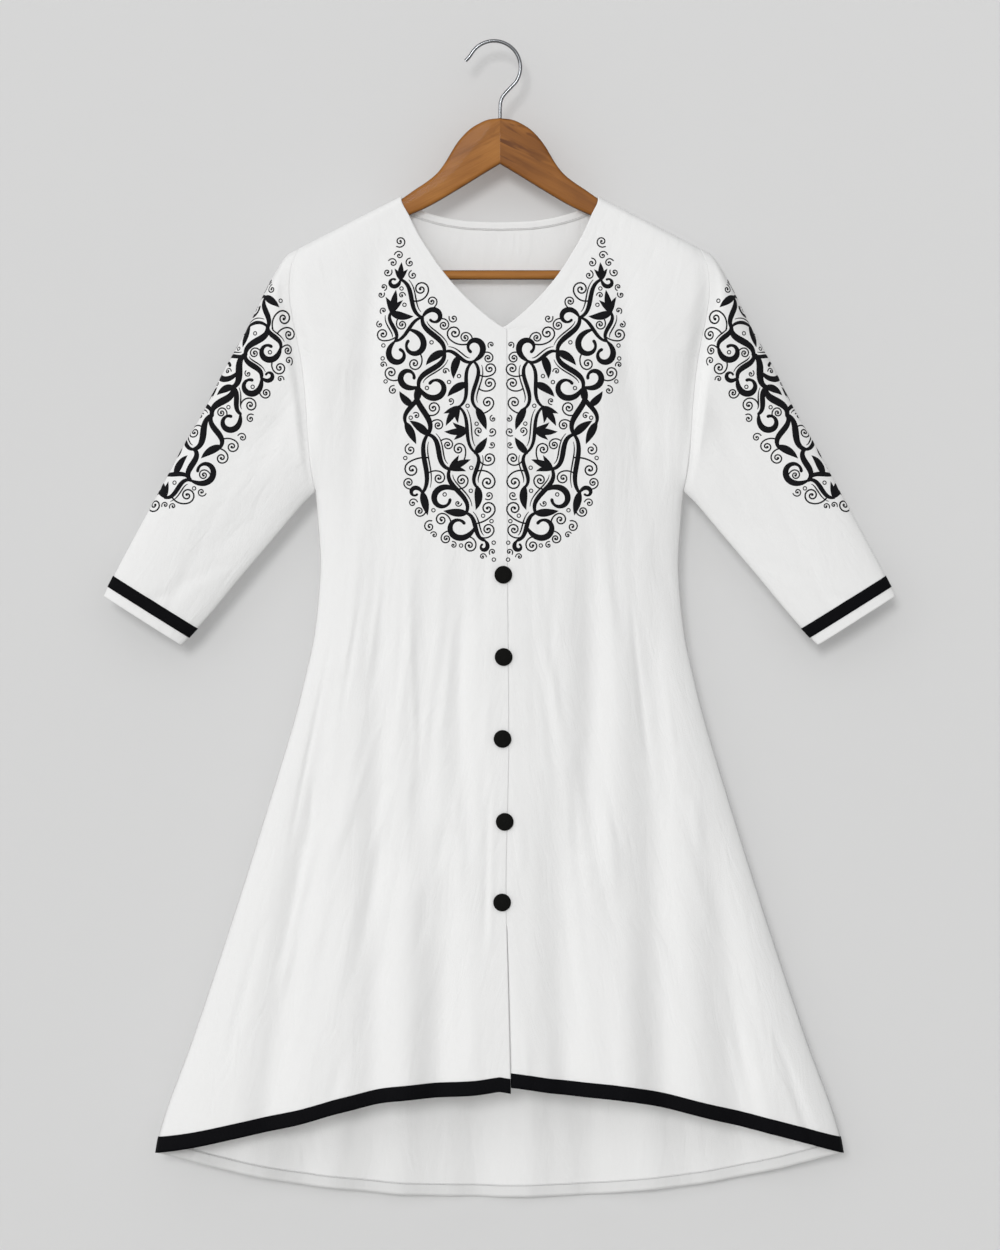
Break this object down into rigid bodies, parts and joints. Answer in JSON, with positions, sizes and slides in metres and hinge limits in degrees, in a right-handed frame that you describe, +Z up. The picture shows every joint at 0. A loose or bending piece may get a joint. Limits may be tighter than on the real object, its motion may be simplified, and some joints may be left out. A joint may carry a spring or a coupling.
{
  "type": "kurta tunic on a wooden hanger",
  "caption": "A-line V-neck kurta tunic with three-quarter sleeves, high-low hem, button front and ribbon trim, hung flat on a wooden clothes hanger with a wire hook.",
  "frame": {"origin": "the inner side of the hook's crown, where a rail carries the hanger", "axes": "+Z up along the garment's length, the garment's front faces -Y, +X to the right as seen from the front"},
  "size_m": [0.871, 0.0865, 1.279],
  "materials": {
    "white_crepe": "matte woven crepe",
    "white_crepe_back": "matte woven crepe",
    "white_facing": "matte woven crepe, stitched",
    "white_crepe_sleeve": "matte woven crepe",
    "black_ribbon": "ribbed woven ribbon",
    "black_cuff_ribbon": "ribbed woven ribbon",
    "black_covered_button": "cloth-covered button",
    "hanger_wood": "satin clear-varnished orange-brown wood",
    "bar_wood": "satin clear-varnished orange-brown wood",
    "chrome_wire": "polished bent wire"
  },
  "bodies": {
    "root": {"back": "white_crepe_back", "front_left": "white_crepe", "front_right": "white_crepe", "sleeve_left": "white_crepe_sleeve", "sleeve_right": "white_crepe_sleeve", "neck_facing": "white_facing", "hem_ribbon_left": "black_ribbon", "hem_ribbon_right": "black_ribbon", "cuff_ribbon_left": "black_cuff_ribbon", "cuff_ribbon_right": "black_cuff_ribbon", "button_1": "black_covered_button", "button_2": "black_covered_button", "button_3": "black_covered_button", "button_4": "black_covered_button", "button_5": "black_covered_button", "hanger_arm_left": "hanger_wood", "hanger_arm_right": "hanger_wood", "hanger_bar": "bar_wood", "hanger_hook": "chrome_wire"}
  },
  "joints": []
}
